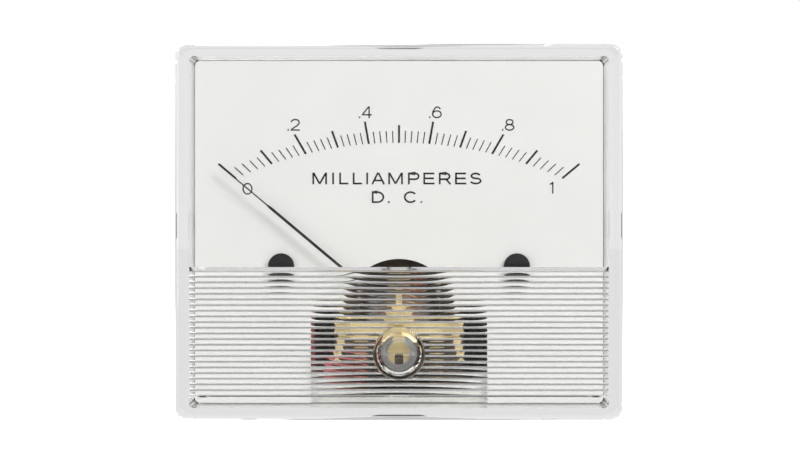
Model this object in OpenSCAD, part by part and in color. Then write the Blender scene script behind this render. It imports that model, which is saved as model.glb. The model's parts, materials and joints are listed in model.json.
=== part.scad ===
// Rectangular moving-coil panel meter with a clear, fluted front cover.
// The part stands upright: X is its width, Z its height, and the dial faces -Y.
// The panel touches it at y = 0, and the barrel reaches through the panel along +Y.
// Each sub-part is drawn looking at the dial: x right, y up, z towards the viewer.

/* [Cover] */
// Width of the clear cover
face_w = 89; // [84:0.5:96]
// Height of the clear cover
face_h = 74.8; // [73:0.2:82]
// Radius of the cover's corners, seen from the front
corner_r = 2.4; // [1.5:0.1:4]
// Radius that softens the cover's front edges
edge_r = 0.8; // [0.4:0.1:1.2]
// Thickness of the cover's side walls
side_wall = 2.65; // [2:0.05:3]
// Thickness of the cover's top and bottom walls
top_wall = 2.3; // [1.8:0.05:2.8]
// Thickness of the window
window_t = 2.0; // [1.6:0.1:3]
// Free space between the front jewel screw and the flutes
window_gap = 0.4; // [0.4:0.1:3]
// Gap between the cover's inner walls and what sits inside them
fit_gap = 0.25; // [0.15:0.05:0.4]

/* [Flutes] */
// Distance from one flute to the next
flute_pitch = 1.13; // [0.8:0.01:1.6]
// Height of each flute's round crown
flute_rise = 0.45; // [0.15:0.05:0.55]
// How far the fluted pad stands in from the plain window
flute_step = 0.35; // [0.2:0.05:0.5]
// Height of the fluted pad's upper edge above the cover's lower edge
flute_up = 30.4; // [26:0.2:36]
// Plain strip left below the lowest flute
flute_margin = 1.4; // [0.8:0.1:4]

/* [Case] */
// Distance from the cover's upper edge in to the barrel
barrel_inset = 2.45; // [2.2:0.05:3.2]
// Depth of the barrel behind the panel
barrel_depth = 25; // [24:0.5:40]
// Thickness of the barrel's wall
barrel_wall = 1.95; // [1.5:0.05:2.5]
// Thickness of the barrel's rear wall
rear_wall = 2.5; // [2:0.1:3.5]
// Thickness of the flange inside the cover
flange_t = 3.0; // [2.4:0.1:4]
// Height of the snap teeth that hold the cover
snap_h = 5; // [3:0.5:8]
// Reach of the snap teeth into the cover's side walls
snap_reach = 0.9; // [0.7:0.1:1.1]
// Height of the snap teeth above the barrel's axis
snap_y = 1.3; // [-4:0.1:4]

/* [Panel studs] */
// Diameter of the mounting studs
stud_d = 3.5; // [3:0.1:4]
// Sideways distance between the mounting studs
stud_dx = 63.5; // [60:0.5:68]
// Distance from the cover's upper edge down to the upper studs
stud_inset = 5.65; // [5.4:0.05:8]
// Length of the mounting studs behind the panel face
stud_len = 14; // [10:0.5:24]

/* [Terminals] */
// Diameter of the terminal studs
terminal_d = 6.35; // [5:0.05:7]
// Distance between the terminal studs
terminal_dx = 28.6; // [24:0.2:32]
// Depth of the terminal studs' thread
terminal_thread = 0.4; // [0.2:0.05:0.5]
// Length of the terminal studs behind the rear wall
terminal_len = 18; // [16:0.5:28]
// Width of the terminal nuts across their flats
terminal_nut_af = 11.1; // [9.6:0.1:12]
// Thickness of each terminal nut
terminal_nut_t = 4; // [3:0.1:5]

/* [Dial] */
// Thickness of the dial plate
dial_t = 0.6; // [0.4:0.1:1]
// Thickness of the steel shield plate behind the dial
plate_t = 0.8; // [0.6:0.1:1.2]
// Thickness of the spacers that hold the dial off the shield plate
spacer_t = 1.2; // [1.1:0.1:2]
// Distance between the dial screws
dial_screw_dx = 48; // [44:0.5:52]
// Height of the dial screws above the pivot
dial_screw_rise = 10; // [8:0.5:20]
// Radius of the dial screws' heads
dial_head_r = 2.65; // [2:0.05:3]
// Radius of the round cut-out over the movement
cutout_r = 11.5; // [11.4:0.1:12]
// Width of the square cut-out below the movement
cutout_w = 36; // [30:0.5:38]

/* [Scale] */
// Half of the angle that the scale covers
scale_half = 50; // [45:1:50]
// Number of divisions on the scale
divisions = 50; // [20:10:100]
// Distance from the pivot to the scale's base line at mid-scale
scale_mid_r = 35.2; // [33:0.2:37]
// Radius of the scale's base line, which is flatter than the pointer's circle
scale_arc_r = 79.8; // [75:0.2:90]
// Length of the numbered marks
major_len = 4.6; // [4:0.1:5]
// Length of the marks halfway between the numbered ones
medium_len = 3.6; // [3:0.1:4]
// Length of the small marks
minor_len = 2.4; // [1.6:0.1:3]

/* [Movement] */
// Height of the pointer's pivot above the zero adjuster
pivot_rise = 7.2; // [7.2:0.1:8.8]
// Radius of the magnet core
core_r = 6.7; // [6.2:0.05:6.8]
// Depth of the soft iron yoke
yoke_depth = 12; // [10:0.5:12.5]
// Width of the yoke
yoke_w = 27; // [26.6:0.1:28]
// Height of the yoke
yoke_h = 25; // [23:0.5:26]
// Play between the core, the moving coil and the yoke
coil_play = 0.3; // [0.2:0.05:0.4]
// Thickness of the moving coil, with its former
coil_t = 1.0; // [0.8:0.05:1.2]
// Width of the moving coil's former
coil_w = 3; // [2.4:0.1:3.6]
// Width of the brass bridge bars
bridge_w = 26; // [25.6:0.1:27]
// Height of the brass bridge bars
bridge_h = 3.4; // [3.2:0.1:4.4]
// Thickness of the brass bridge bars
bridge_t = 1.1; // [0.8:0.1:1.4]
// Drop of the bridge bars' middle line below the pivot
bridge_drop = 2.3; // [1.9:0.1:2.5]

/* [Pointer] */
// Reach of the pointer's tip from its pivot
pointer_r = 47.3; // [44:0.1:47.6]
// Reach of the pointer's broad arm
pointer_arm_r = 35; // [30:0.5:40]
// Width of the broad arm
pointer_arm_w = 0.56; // [0.4:0.02:0.8]
// Width of the needle at the tip
pointer_tip_w = 0.26; // [0.2:0.02:0.4]
// Thickness of the pointer
pointer_t = 0.3; // [0.2:0.05:0.4]
// Height of the pointer over the dial
pointer_lift = 2.0; // [1.6:0.1:3]
// Travel past each end of the scale before the pointer meets its stop
overtravel = 2; // [1:0.5:4]

/* [Zero adjuster] */
// Height of the zero adjuster above the cover's lower edge
adjuster_up = 13.2; // [12.8:0.1:13.6]
// Outer radius of the collar round the adjuster
collar_r = 5.2; // [4.8:0.1:5.3]
// Radius of the dish that the adjuster's head sits in
dish_r = 4.2; // [3.8:0.1:4.4]
// Radius of the adjuster's head
head_r = 3.3; // [2.9:0.1:3.5]
// Radius of the adjuster's stem
stem_r = 2.5; // [2.2:0.05:2.6]
// Radius of the adjuster's eccentric pin
pin_r = 0.6; // [0.5:0.05:0.7]
// Distance of the pin from the adjuster's axis
pin_throw = 1.5; // [1:0.05:1.6]

/* [Hidden] */
$fn = 48;
eps = 0.01;          // overrun of cutting tools past a face
run_gap = 0.05;      // play of a turning fit, per side
thread_gap = 0.05;   // play of a screw in its hole, per side
fork_gap = 0.15;     // play of the adjuster's pin in the lever's fork, per side
seat_gap = 0.03;     // play of a piece that sits tight in its seat, per side
washer_gap = 0.15;   // play of a washer round its stud, per side

// Inside of the cover
inner_w = face_w - 2 * side_wall;
inner_h = face_h - 2 * top_wall;
inner_r = 1.0;
flange_w = inner_w - 2 * fit_gap;
flange_h = inner_h - 2 * fit_gap;
flange_r = inner_r;

// Heights above the barrel's axis
adjuster_y = -face_h / 2 + adjuster_up;
pivot_y = adjuster_y + pivot_rise;
dial_screw_y = pivot_y + dial_screw_rise;
flute_top = -face_h / 2 + flute_up;

// Layers from the panel forwards
plate_z = flange_t;
dial_z = plate_z + plate_t + spacer_t;
dial_face = dial_z + dial_t;
pointer_z = dial_face + pointer_lift;
spring_lift = 1.1;
spring_z = pointer_z + spring_lift;
spring_w = 0.4;
spring_room = 1.0;   // from a hairspring's middle to the bridge over it
bridge_z = spring_z + spring_room;
lever_t = 0.5;
lever_z = bridge_z + bridge_t + run_gap;
jewel_nut_t = 0.7;
jewel_nut_af = 3.2;
jewel_nut_z = lever_z + lever_t + run_gap;
jewel_r = 1.2;
jewel_front = jewel_nut_z + jewel_nut_t + 0.05;
flute_lip = flute_step + flute_rise;
window_z = jewel_front + window_gap + flute_lip;
face_d = window_z + window_t;

// Flutes
flute_low = -inner_h / 2 + flute_margin;
flute_r = (pow(flute_rise, 2) + pow(flute_pitch / 2, 2)) / (2 * flute_rise);
flute_n = floor((flute_top - flute_lip - flute_low) / flute_pitch);

// Case
barrel_r = face_h / 2 - barrel_inset;
bore_r = barrel_r - barrel_wall;
barrel_floor = -barrel_depth + rear_wall;
snap_z = 0.8;
snap_play = 0.1;
stud_dy = face_h - 2 * stud_inset;
stud_shank_r = stud_d / 2 + 0.3;
stud_head_r = 2.6;
stud_head_t = 1.4;
plate_screw_r = 1.0;
plate_screw_len = 2.2;
plate_screw_x = (barrel_r + flange_w / 2) / 2;
plate_screw_y = 14;
plate_head_r = 1.9;
plate_head_t = spacer_t - 0.3;
blind_gap = 0.2;     // free depth under the end of a screw in a blind hole
dial_screw_r = 1.25;
dial_screw_grip = 2;
dial_head_t = 1.1;
dial_ear_r = 4.6;
spacer_r = 3.2;

// Terminals
pad_t = 1.2;
pad_r = terminal_nut_af / 2 / cos(30) + 1.4;
lug_t = 0.5;
lug_w = 3;
lug_eye_r = 0.7;
terminal_head_af = 9.4;
terminal_head_t = 3;
washer_rim = 0.9;
washer_t = 1.0;
lockwasher_t = 1.5;
terminal_back = -barrel_depth - pad_t;
nut_front = terminal_back - washer_t - lockwasher_t;
nut_space = 0.3;
nut_back = nut_front - 2 * terminal_nut_t - nut_space;
terminal_root_r = terminal_d / 2 - terminal_thread;
lead_r = 0.6;
lead_bow = 4.5;      // how far a lead swings clear of what it passes
lead_rise = 1.9;
lug_reach = 7.5;

// Movement, along the pivot's axis
yoke_front = -1.0;
yoke_back = yoke_front - yoke_depth;
core_set = 0.5;
core_front = yoke_front - core_set;
core_back = yoke_back + core_set;
coil_in = core_r + coil_play;
coil_out = coil_in + coil_t;
yoke_bore = coil_out + coil_play;
crossing_gap = 0.6;
coil_front = core_front + crossing_gap + coil_t;
coil_back = core_back - crossing_gap - coil_t;
former_t = 0.25;
winding_w = coil_w - 0.4;
rear_spring_lift = 1.8;
rear_spring_z = coil_back - rear_spring_lift;
rear_bridge_z = rear_spring_z - spring_room - bridge_t;
rear_lever_z = rear_bridge_z - lever_t;
rear_nut_z = rear_lever_z - jewel_nut_t;
staff_r = 0.45;
foot_r = 1.2;
foot_t = 0.4;
collet_r = 1.05;
collet_half = 0.3;
tip_len = 0.7;
tip_gap = 0.1;
cup_depth = 0.55;
cup_r = 0.62;
cup_floor_r = 0.2;
front_cup_z = bridge_z - 0.4;
rear_cup_z = rear_bridge_z + bridge_t + 0.4;
jewel_stub = 0.6;
key_half = 18;
yoke_corner = 3;
post_r = 1.5;
post_inset = 2.1;
post_x = bridge_w / 2 - post_inset;
spigot_r = 0.9;
spigot_len = 3;
post_screw_r = 0.8;
post_screw_grip = 2.4;
post_head_r = 1.5;
post_head_t = 0.9;
tag_t = 0.3;
tag_w = 1.5;
tag_len = 5.7;
tag_turn = 16;       // how far the tags' tails lean outwards, in degrees
tag_eye_r = 0.45;
mount_x = 7.8;
mount_drop = 6.6;
mount_y = pivot_y - mount_drop;
mount_screw_r = 1;
mount_grip = 6;
mount_head_r = 1.6;
mount_head_t = 1.4;
pillar_r = 2.6;
stop_r = 9.5;
post_wire_r = 0.35;
stop_root = 2;
sleeve_r = 0.55;
sleeve_half = 0.8;
stop_angle = scale_half + overtravel + asin((sleeve_r + pointer_arm_w / 2 + run_gap) / stop_r);
arm_r = 6.8;
side_arm_r = 5.3;
arm_wire_r = 0.2;
hub_r = 1.0;
hub_drop = 0.35;
tab_r = 4.1;
tab_t = 0.4;
tab_w = 1.2;
eye_r = 2.3;
adjuster_half = 45;  // turn of the zero adjuster each way, in degrees
balance_z = pointer_z - 0.85;
tail_weight_r = 0.895;
tail_weight_len = 4;
tail_weight_gap = 0.4;   // bare wire beyond the tail weight
side_weight_r = 0.5;
side_weight_len = 1.2;
side_weight_gap = 1.1;   // bare wire beyond each side weight

// Zero adjuster, from the window backwards
collar_lift = 0.3;
dish_depth = 0.9;
dish_floor = face_d - dish_depth;
boss_h = 1.0;
boss_back = window_z - boss_h;
clip_t = 0.3;
clip_z = boss_back - run_gap - clip_t;
groove_r = stem_r - 0.4;
stem_back = clip_z - 0.3;
pin_back = lever_z - 0.1;
fork_r = pivot_y - adjuster_y + pin_throw;

// ---- shapes that repeat ----

// Turns a shape drawn as seen from the front into the upright part
module upright() { rotate([90, 0, 0]) children(); }

module at_pivot() { translate([0, pivot_y, 0]) children(); }

module at_adjuster() { translate([0, adjuster_y, 0]) children(); }

// Both places left and right of the middle
module pair(x, y = 0) { for (s = [-1, 1]) translate([s * x, y, 0]) children(); }

// A disc or rod from z0 to z1
module rod(r, z0, z1) { translate([0, 0, z0]) cylinder(r = r, h = z1 - z0); }

module tube(r_out, r_in, z0, z1) {
    difference() {
        rod(r_out, z0, z1);
        rod(r_in, z0 - eps, z1 + eps);
    }
}

module slab(z0, z1) { translate([0, 0, z0]) linear_extrude(z1 - z0) children(); }

module round_rect(w, h, r) {
    square([w, h - 2 * r], center = true);
    square([w - 2 * r, h], center = true);
    for (x = [-1, 1], y = [-1, 1])
        translate([x * (w / 2 - r), y * (h / 2 - r)]) circle(r);
}

// The sliver between a square edge and a rounded one of radius r
module edge_profile(r) {
    difference() {
        translate([-r, -r]) square([r + 1, r + 1]);
        translate([-r, -r]) circle(r);
        translate([-r - 1, -r - 1]) square([r + 2, 1]);
        translate([-r - 1, -r - 1]) square([1, r + 2]);
    }
}

// Takes the sharp front edge off a rounded slab whose front is at z = 0
module front_edge_cut(w, h, r, edge) {
    for (a = [0, 180]) rotate(a) {
        translate([w / 2, 0, 0]) rotate([90, 0, 0])
            translate([0, 0, -(h / 2 - r)]) linear_extrude(h - 2 * r) edge_profile(edge);
        rotate(90) translate([h / 2, 0, 0]) rotate([90, 0, 0])
            translate([0, 0, -(w / 2 - r)]) linear_extrude(w - 2 * r) edge_profile(edge);
    }
    for (x = [-1, 1], y = [-1, 1])
        translate([x * (w / 2 - r), y * (h / 2 - r), 0])
            rotate(x > 0 ? (y > 0 ? 0 : -90) : (y > 0 ? 90 : 180))
                rotate_extrude(angle = 90) translate([r, 0]) edge_profile(edge);
}

// A screw with a slotted head that bears on z = 0 and a shank that points to -z
module slotted_screw(head_r, head_h, shank_r, shank_len) {
    difference() {
        rod(head_r, 0, head_h);
        slab(head_h * 0.5, head_h + eps) square([2 * head_r + 1, head_r * 0.28], center = true);
    }
    rod(shank_r, -shank_len, eps);
}

module hex_nut(af, bore_r, z0, z1) {
    difference() {
        translate([0, 0, z0]) cylinder(r = af / 2 / cos(30), h = z1 - z0, $fn = 6);
        rod(bore_r, z0 - eps, z1 + eps);
    }
}

// A tapering point on the end of a rod, from z0 to the tip at z1
module cone_tip(r, z0, z1, tip_r = 0.12) {
    rotate_extrude()
        polygon(z1 > z0 ? [[0, z0], [r, z0], [tip_r, z1], [0, z1]]
                        : [[0, z1], [tip_r, z1], [r, z0], [0, z0]]);
}

// ---- cover ----

// One flute's crown: the part of its circle that stands in front of the pad
module flute_crown() {
    intersection() {
        translate([0, flute_rise - flute_r]) circle(flute_r, $fn = 96);
        translate([-flute_pitch / 2, 0]) square([flute_pitch, flute_rise + eps]);
    }
}

// Profile of the fluted pad: x runs down the window, y runs into the case
module flute_profile() {
    pad_len = flute_lip + flute_n * flute_pitch;
    polygon([
        [0, -eps], [0, 0], [flute_lip, flute_lip],
        [flute_lip, flute_step], [pad_len, flute_step], [pad_len + flute_step, 0], [pad_len + flute_step, -eps]
    ]);
    translate([flute_lip, flute_step])
        for (i = [0 : flute_n - 1]) translate([(i + 0.5) * flute_pitch, 0]) flute_crown();
}

module fluted_pad() {
    translate([-inner_w / 2 - eps, flute_top, window_z]) rotate([0, 90, 0]) rotate([0, 0, -90])
        linear_extrude(inner_w + 2 * eps) flute_profile();
}

module front_cover() {
    color([0.93, 0.95, 0.95, 0.4]) upright() difference() {
        union() {
            difference() {
                slab(0, face_d) round_rect(face_w, face_h, corner_r);
                translate([0, 0, face_d]) front_edge_cut(face_w, face_h, corner_r, edge_r);
                slab(-eps, window_z) round_rect(inner_w, inner_h, inner_r);
                // pockets for the flange's snap teeth
                pair(inner_w / 2, snap_y) slab(snap_z - snap_play, flange_t - snap_z + snap_play)
                    square([2 * snap_reach + fit_gap, snap_h + 2 * fit_gap], center = true);
            }
            fluted_pad();
            at_adjuster() rod(collar_r, boss_back, face_d - dish_depth);
            at_adjuster() rod(collar_r, face_d - eps, face_d + collar_lift);
        }
        at_adjuster() rod(stem_r + run_gap, boss_back - eps, face_d);
        at_adjuster() rod(dish_r, dish_floor, face_d + collar_lift + eps);
    }
}

// ---- case ----

module base() {
    color([0.09, 0.085, 0.085]) upright() difference() {
        union() {
            slab(0, flange_t) round_rect(flange_w, flange_h, flange_r);
            rod(barrel_r, -barrel_depth, eps);
            // snap teeth on the flange's sides
            pair(flange_w / 2, snap_y) slab(snap_z, flange_t - snap_z)
                square([2 * (snap_reach - fit_gap), snap_h], center = true);
            // raised pads under the terminals
            pair(terminal_dx / 2) rod(pad_r, -barrel_depth - pad_t, -barrel_depth + eps);
        }
        difference() {
            rod(bore_r, barrel_floor, flange_t + eps);
            // pillars under the movement, relieved round the moving coil
            difference() {
                pair(mount_x, mount_y) rod(pillar_r, barrel_floor - eps, yoke_back);
                at_pivot() rod(yoke_bore, coil_back - crossing_gap, yoke_back + eps);
            }
        }
        pair(mount_x, mount_y)
            rod(mount_screw_r + thread_gap, yoke_back - mount_grip - blind_gap, yoke_back + eps);
        pair(terminal_dx / 2) rod(terminal_d / 2 + thread_gap, -barrel_depth - pad_t - eps, barrel_floor + eps);
        for (x = [-1, 1], y = [-1, 1]) {
            translate([x * stud_dx / 2, y * stud_dy / 2, 0]) {
                rod(stud_shank_r + seat_gap, -eps, flange_t);
                rod(stud_head_r + seat_gap, flange_t - stud_head_t - seat_gap, flange_t + eps);
            }
            translate([x * plate_screw_x, y * plate_screw_y, 0])
                rod(plate_screw_r + thread_gap, flange_t - plate_screw_len - blind_gap, flange_t + eps);
        }
    }
}

// Steel plate over the flange, open over the barrel, with two ears for the dial
module shield_plate() {
    color([0.83, 0.84, 0.82]) upright() difference() {
        slab(plate_z, plate_z + plate_t) difference() {
            round_rect(flange_w, flange_h, flange_r);
            difference() {
                circle(bore_r, $fn = 128);
                pair(dial_screw_dx / 2, dial_screw_y) circle(dial_ear_r);
                pair(bore_r, dial_screw_y)
                    square([2 * bore_r - dial_screw_dx, 2 * dial_ear_r], center = true);
            }
        }
        pair(dial_screw_dx / 2, dial_screw_y)
            rod(dial_screw_r + thread_gap, plate_z - eps, plate_z + plate_t + eps);
        for (x = [-1, 1], y = [-1, 1])
            translate([x * plate_screw_x, y * plate_screw_y, 0])
                rod(plate_screw_r + thread_gap, plate_z - eps, plate_z + plate_t + eps);
    }
}

module plate_screws() {
    color([0.75, 0.75, 0.73]) upright()
        for (x = [-1, 1], y = [-1, 1])
            translate([x * plate_screw_x, y * plate_screw_y, plate_z + plate_t])
                slotted_screw(plate_head_r, plate_head_t, plate_screw_r, plate_screw_len + plate_t);
}

// Studs with a shouldered shank and a flat head moulded into the flange
module mounting_studs() {
    color([0.72, 0.72, 0.7]) upright()
        for (x = [-1, 1], y = [-1, 1]) translate([x * stud_dx / 2, y * stud_dy / 2, 0]) {
            rod(stud_d / 2, -stud_len, eps);
            rod(stud_shank_r, 0, flange_t - stud_head_t + eps);
            rod(stud_head_r, flange_t - stud_head_t, flange_t);
        }
}

// ---- terminals ----

// The stud is drawn at its thread's root inside the nuts, and full where it is free
module terminal_studs() {
    color([0.78, 0.66, 0.38]) upright() pair(terminal_dx / 2) {
        rod(terminal_d / 2, -barrel_depth - terminal_len, nut_back);
        rod(terminal_root_r, nut_back - eps, nut_front + eps);
        rod(terminal_d / 2, nut_front, barrel_floor + lug_t + eps);
        translate([0, 0, barrel_floor + lug_t])
            cylinder(r = terminal_head_af / 2 / cos(30), h = terminal_head_t, $fn = 6);
    }
}

module solder_lugs() {
    color([0.8, 0.8, 0.78]) upright()
        for (s = [-1, 1]) translate([s * terminal_dx / 2, 0, 0]) difference() {
            slab(barrel_floor, barrel_floor + lug_t) {
                circle(terminal_head_af / 2 / cos(30));
                translate([-s * lug_reach / 2, 0]) square([lug_reach, lug_w], center = true);
                translate([-s * lug_reach, 0]) circle(lug_w / 2);
            }
            rod(terminal_d / 2 + thread_gap, barrel_floor - eps, barrel_floor + lug_t + eps);
            translate([-s * lug_reach, 0, 0]) rod(lug_eye_r, barrel_floor - eps, barrel_floor + lug_t + eps);
        }
}

module terminal_washers() {
    color([0.78, 0.66, 0.38]) upright() pair(terminal_dx / 2)
        tube(terminal_nut_af / 2 + washer_rim, terminal_d / 2 + washer_gap,
            terminal_back - washer_t, terminal_back);
}

// Split spring washers
module terminal_lockwashers() {
    rim = 0.3;
    split = 0.8;
    lean = 18;
    color([0.6, 0.6, 0.6]) upright() pair(terminal_dx / 2) difference() {
        tube(terminal_nut_af / 2 - rim, terminal_d / 2 + washer_gap, nut_front, nut_front + lockwasher_t);
        translate([0, 0, nut_front + lockwasher_t / 2]) rotate([lean, 0, 0])
            translate([0, -split / 2, -lockwasher_t]) cube([terminal_nut_af, split, 2 * lockwasher_t]);
    }
}

module terminal_nuts() {
    outer_turn = 14;
    color([0.78, 0.66, 0.38]) upright() pair(terminal_dx / 2) {
        hex_nut(terminal_nut_af, terminal_root_r + thread_gap, nut_front - terminal_nut_t, nut_front);
        rotate(outer_turn)
            hex_nut(terminal_nut_af, terminal_root_r + thread_gap, nut_back, nut_back + terminal_nut_t);
    }
}

// ---- dial ----

module cutout_outline() {
    corner = 3.5;
    shoulder = 1.0;
    translate([0, pivot_y]) circle(cutout_r, $fn = 96);
    translate([-cutout_w / 2 + corner, -inner_h]) square([cutout_w - 2 * corner, inner_h + pivot_y + shoulder]);
    translate([-cutout_w / 2, -inner_h]) square([cutout_w, inner_h + pivot_y + shoulder - corner]);
    pair(cutout_w / 2 - corner, pivot_y + shoulder - corner) circle(corner);
}

module dial() {
    color([0.93, 0.93, 0.93]) upright() difference() {
        slab(dial_z, dial_face) difference() {
            round_rect(flange_w, flange_h, flange_r);
            cutout_outline();
        }
        pair(dial_screw_dx / 2, dial_screw_y) rod(dial_screw_r + thread_gap, dial_z - eps, dial_face + eps);
    }
}

// Distance from the pivot to the scale's base line at angle a from upright
function base_line_r(a) =
    let (b = scale_arc_r - scale_mid_r)
    sqrt(pow(scale_arc_r, 2) - pow(b * sin(a), 2)) - b * cos(a);

module scale_marks() {
    ink_t = 0.04;
    major_w = 0.42;
    minor_w = 0.2;
    color([0.05, 0.05, 0.05]) upright() at_pivot()
        for (i = [0 : divisions]) {
            a = -scale_half + 2 * scale_half * i / divisions;
            len = i % 10 == 0 ? major_len : i % 5 == 0 ? medium_len : minor_len;
            w = i % 5 == 0 ? major_w : minor_w;
            rotate(-a) translate([-w / 2, base_line_r(a), dial_face]) cube([w, len, ink_t]);
        }
}

module dial_spacers() {
    color([0.75, 0.75, 0.73]) upright() pair(dial_screw_dx / 2, dial_screw_y)
        tube(spacer_r, dial_screw_r + thread_gap, plate_z + plate_t, dial_z);
}

module dial_screws() {
    color([0.06, 0.06, 0.06]) upright() pair(dial_screw_dx / 2, dial_screw_y)
        translate([0, 0, dial_face])
            slotted_screw(dial_head_r, dial_head_t, dial_screw_r,
                dial_t + spacer_t + plate_t + dial_screw_grip);
}

// ---- magnet and frame of the movement ----

module yoke() {
    color([0.16, 0.14, 0.13]) upright() at_pivot() difference() {
        slab(yoke_back, yoke_front) round_rect(yoke_w, yoke_h, yoke_corner);
        rod(yoke_bore, yoke_back - eps, yoke_front + eps);
        pair(mount_x, -mount_drop) rod(mount_screw_r + 2 * thread_gap, yoke_back - eps, yoke_front + eps);
        pair(post_x, -bridge_drop) {
            rod(spigot_r + thread_gap, yoke_front - spigot_len - blind_gap, yoke_front + eps);
            rod(spigot_r + thread_gap, yoke_back - eps, yoke_back + spigot_len + blind_gap);
        }
        for (s = [-1, 1]) rotate(s * stop_angle) translate([0, stop_r, 0])
            rod(post_wire_r + thread_gap, yoke_front - stop_root - blind_gap, yoke_front + eps);
    }
}

module core_magnet() {
    color([0.35, 0.34, 0.33]) upright() at_pivot() rod(core_r, core_back, core_front);
}

// Brass keys that hold the core in the yoke, above and below the coil's sweep
module core_keys() {
    color([0.76, 0.62, 0.34]) upright() at_pivot() for (a = [90, 270])
        rotate(a - key_half) rotate_extrude(angle = 2 * key_half, $fn = 96)
            translate([core_r + seat_gap, core_back])
                square([yoke_bore - core_r - 2 * seat_gap, core_front - core_back]);
}

module movement_screws() {
    color([0.76, 0.62, 0.34]) upright() pair(mount_x, mount_y) translate([0, 0, yoke_front])
        slotted_screw(mount_head_r, mount_head_t, mount_screw_r, yoke_depth + mount_grip);
}

// Two pillars of length len that stand on z = 0, with a spigot below and a screw hole above
module posts(len) {
    pair(post_x, -bridge_drop) difference() {
        union() {
            rod(post_r, 0, len);
            rod(spigot_r, -spigot_len, eps);
        }
        rod(post_screw_r + thread_gap, len - post_screw_grip - blind_gap, len + eps);
    }
}

// A bar with a raised middle that carries a jewel screw at the pivot
module bridge_bar(z0, z1) {
    hump_top = 2.2;
    hump_foot = 3.1;
    hump_y = jewel_r + 0.3;
    end_x = (bridge_w - bridge_h) / 2;
    low = -bridge_drop - bridge_h / 2;
    high = -bridge_drop + bridge_h / 2;
    difference() {
        slab(z0, z1) {
            polygon([
                [-end_x, low], [end_x, low], [end_x, high], [hump_foot, high],
                [hump_top, hump_y], [-hump_top, hump_y], [-hump_foot, high], [-end_x, high]
            ]);
            pair(end_x, -bridge_drop) circle(bridge_h / 2);
        }
        rod(jewel_r + thread_gap, z0 - eps, z1 + eps);
        pair(post_x, -bridge_drop) rod(post_screw_r + thread_gap, z0 - eps, z1 + eps);
    }
}

module front_posts() {
    color([0.76, 0.62, 0.34]) upright() at_pivot() translate([0, 0, yoke_front]) posts(bridge_z - yoke_front);
}

module front_bridge() {
    color([0.8, 0.66, 0.36]) upright() at_pivot() bridge_bar(bridge_z, bridge_z + bridge_t);
}

// A screw for a bridge's end, where clamped is the thickness under its head
module bridge_screw(clamped) {
    slotted_screw(post_head_r, post_head_t, post_screw_r, clamped + post_screw_grip);
}

module front_bridge_screws() {
    color([0.76, 0.62, 0.34]) upright() at_pivot() pair(post_x, -bridge_drop)
        translate([0, 0, bridge_z + bridge_t + tag_t]) bridge_screw(bridge_t + tag_t);
}

// Solder tags clamped under the front bridge's screws, with tails that point down and outwards
module bridge_tags() {
    color([0.84, 0.7, 0.38]) upright() at_pivot()
        for (s = [-1, 1]) translate([s * post_x, -bridge_drop, 0]) rotate(s * tag_turn) difference() {
            slab(bridge_z + bridge_t, bridge_z + bridge_t + tag_t) {
                circle(bridge_h / 2);
                translate([-tag_w / 2, -tag_len]) square([tag_w, tag_len]);
                translate([0, -tag_len]) circle(tag_w / 2);
            }
            rod(post_screw_r + thread_gap, bridge_z + bridge_t - eps, bridge_z + bridge_t + tag_t + eps);
            translate([0, -tag_len, 0])
                rod(tag_eye_r, bridge_z + bridge_t - eps, bridge_z + bridge_t + tag_t + eps);
        }
}

// A screw of length len with a cup for the pivot's point at z = 0 and a slot in its other end
module jewel_screw(len) {
    slot_w = 0.4;
    slot_depth = 0.5;
    difference() {
        rod(jewel_r, 0, len);
        cone_tip(cup_r, -eps, cup_depth, cup_floor_r);
        slab(len - slot_depth, len + eps) square([3 * jewel_r, slot_w], center = true);
    }
}

module front_jewel_screw() {
    color([0.8, 0.66, 0.36]) upright() at_pivot()
        translate([0, 0, front_cup_z]) jewel_screw(jewel_front - front_cup_z);
}

module front_locknut() {
    color([0.8, 0.66, 0.36]) upright() at_pivot()
        hex_nut(jewel_nut_af, jewel_r + thread_gap, jewel_nut_z, jewel_nut_z + jewel_nut_t);
}

module rear_posts() {
    color([0.76, 0.62, 0.34]) upright() at_pivot()
        translate([0, 0, yoke_back]) rotate([0, 180, 0]) posts(yoke_back - rear_bridge_z - bridge_t);
}

module rear_bridge() {
    color([0.8, 0.66, 0.36]) upright() at_pivot() bridge_bar(rear_bridge_z, rear_bridge_z + bridge_t);
}

module rear_bridge_screws() {
    color([0.76, 0.62, 0.34]) upright() at_pivot() pair(post_x, -bridge_drop)
        translate([0, 0, rear_bridge_z]) rotate([0, 180, 0]) bridge_screw(bridge_t);
}

module rear_jewel_screw() {
    color([0.8, 0.66, 0.36]) upright() at_pivot()
        translate([0, 0, rear_cup_z]) rotate([0, 180, 0]) jewel_screw(rear_cup_z - rear_nut_z + jewel_stub);
}

module rear_locknut() {
    color([0.8, 0.66, 0.36]) upright() at_pivot()
        hex_nut(jewel_nut_af, jewel_r + thread_gap, rear_nut_z, rear_nut_z + jewel_nut_t);
}

// ---- springs and their levers ----

// Flat eye round the jewel screw with a finger up to the spring's outer end, bent over from tab_z0 to tab_z1
module spring_finger(z0, tab_z0, tab_z1) {
    difference() {
        slab(z0, z0 + lever_t) {
            circle(eye_r);
            translate([-tab_w / 2, 0]) square([tab_w, tab_r + tab_t]);
        }
        rod(jewel_r + run_gap, z0 - eps, z0 + lever_t + eps);
    }
    translate([-tab_w / 2, tab_r, tab_z0]) cube([tab_w, tab_t, tab_z1 - tab_z0]);
}

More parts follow.
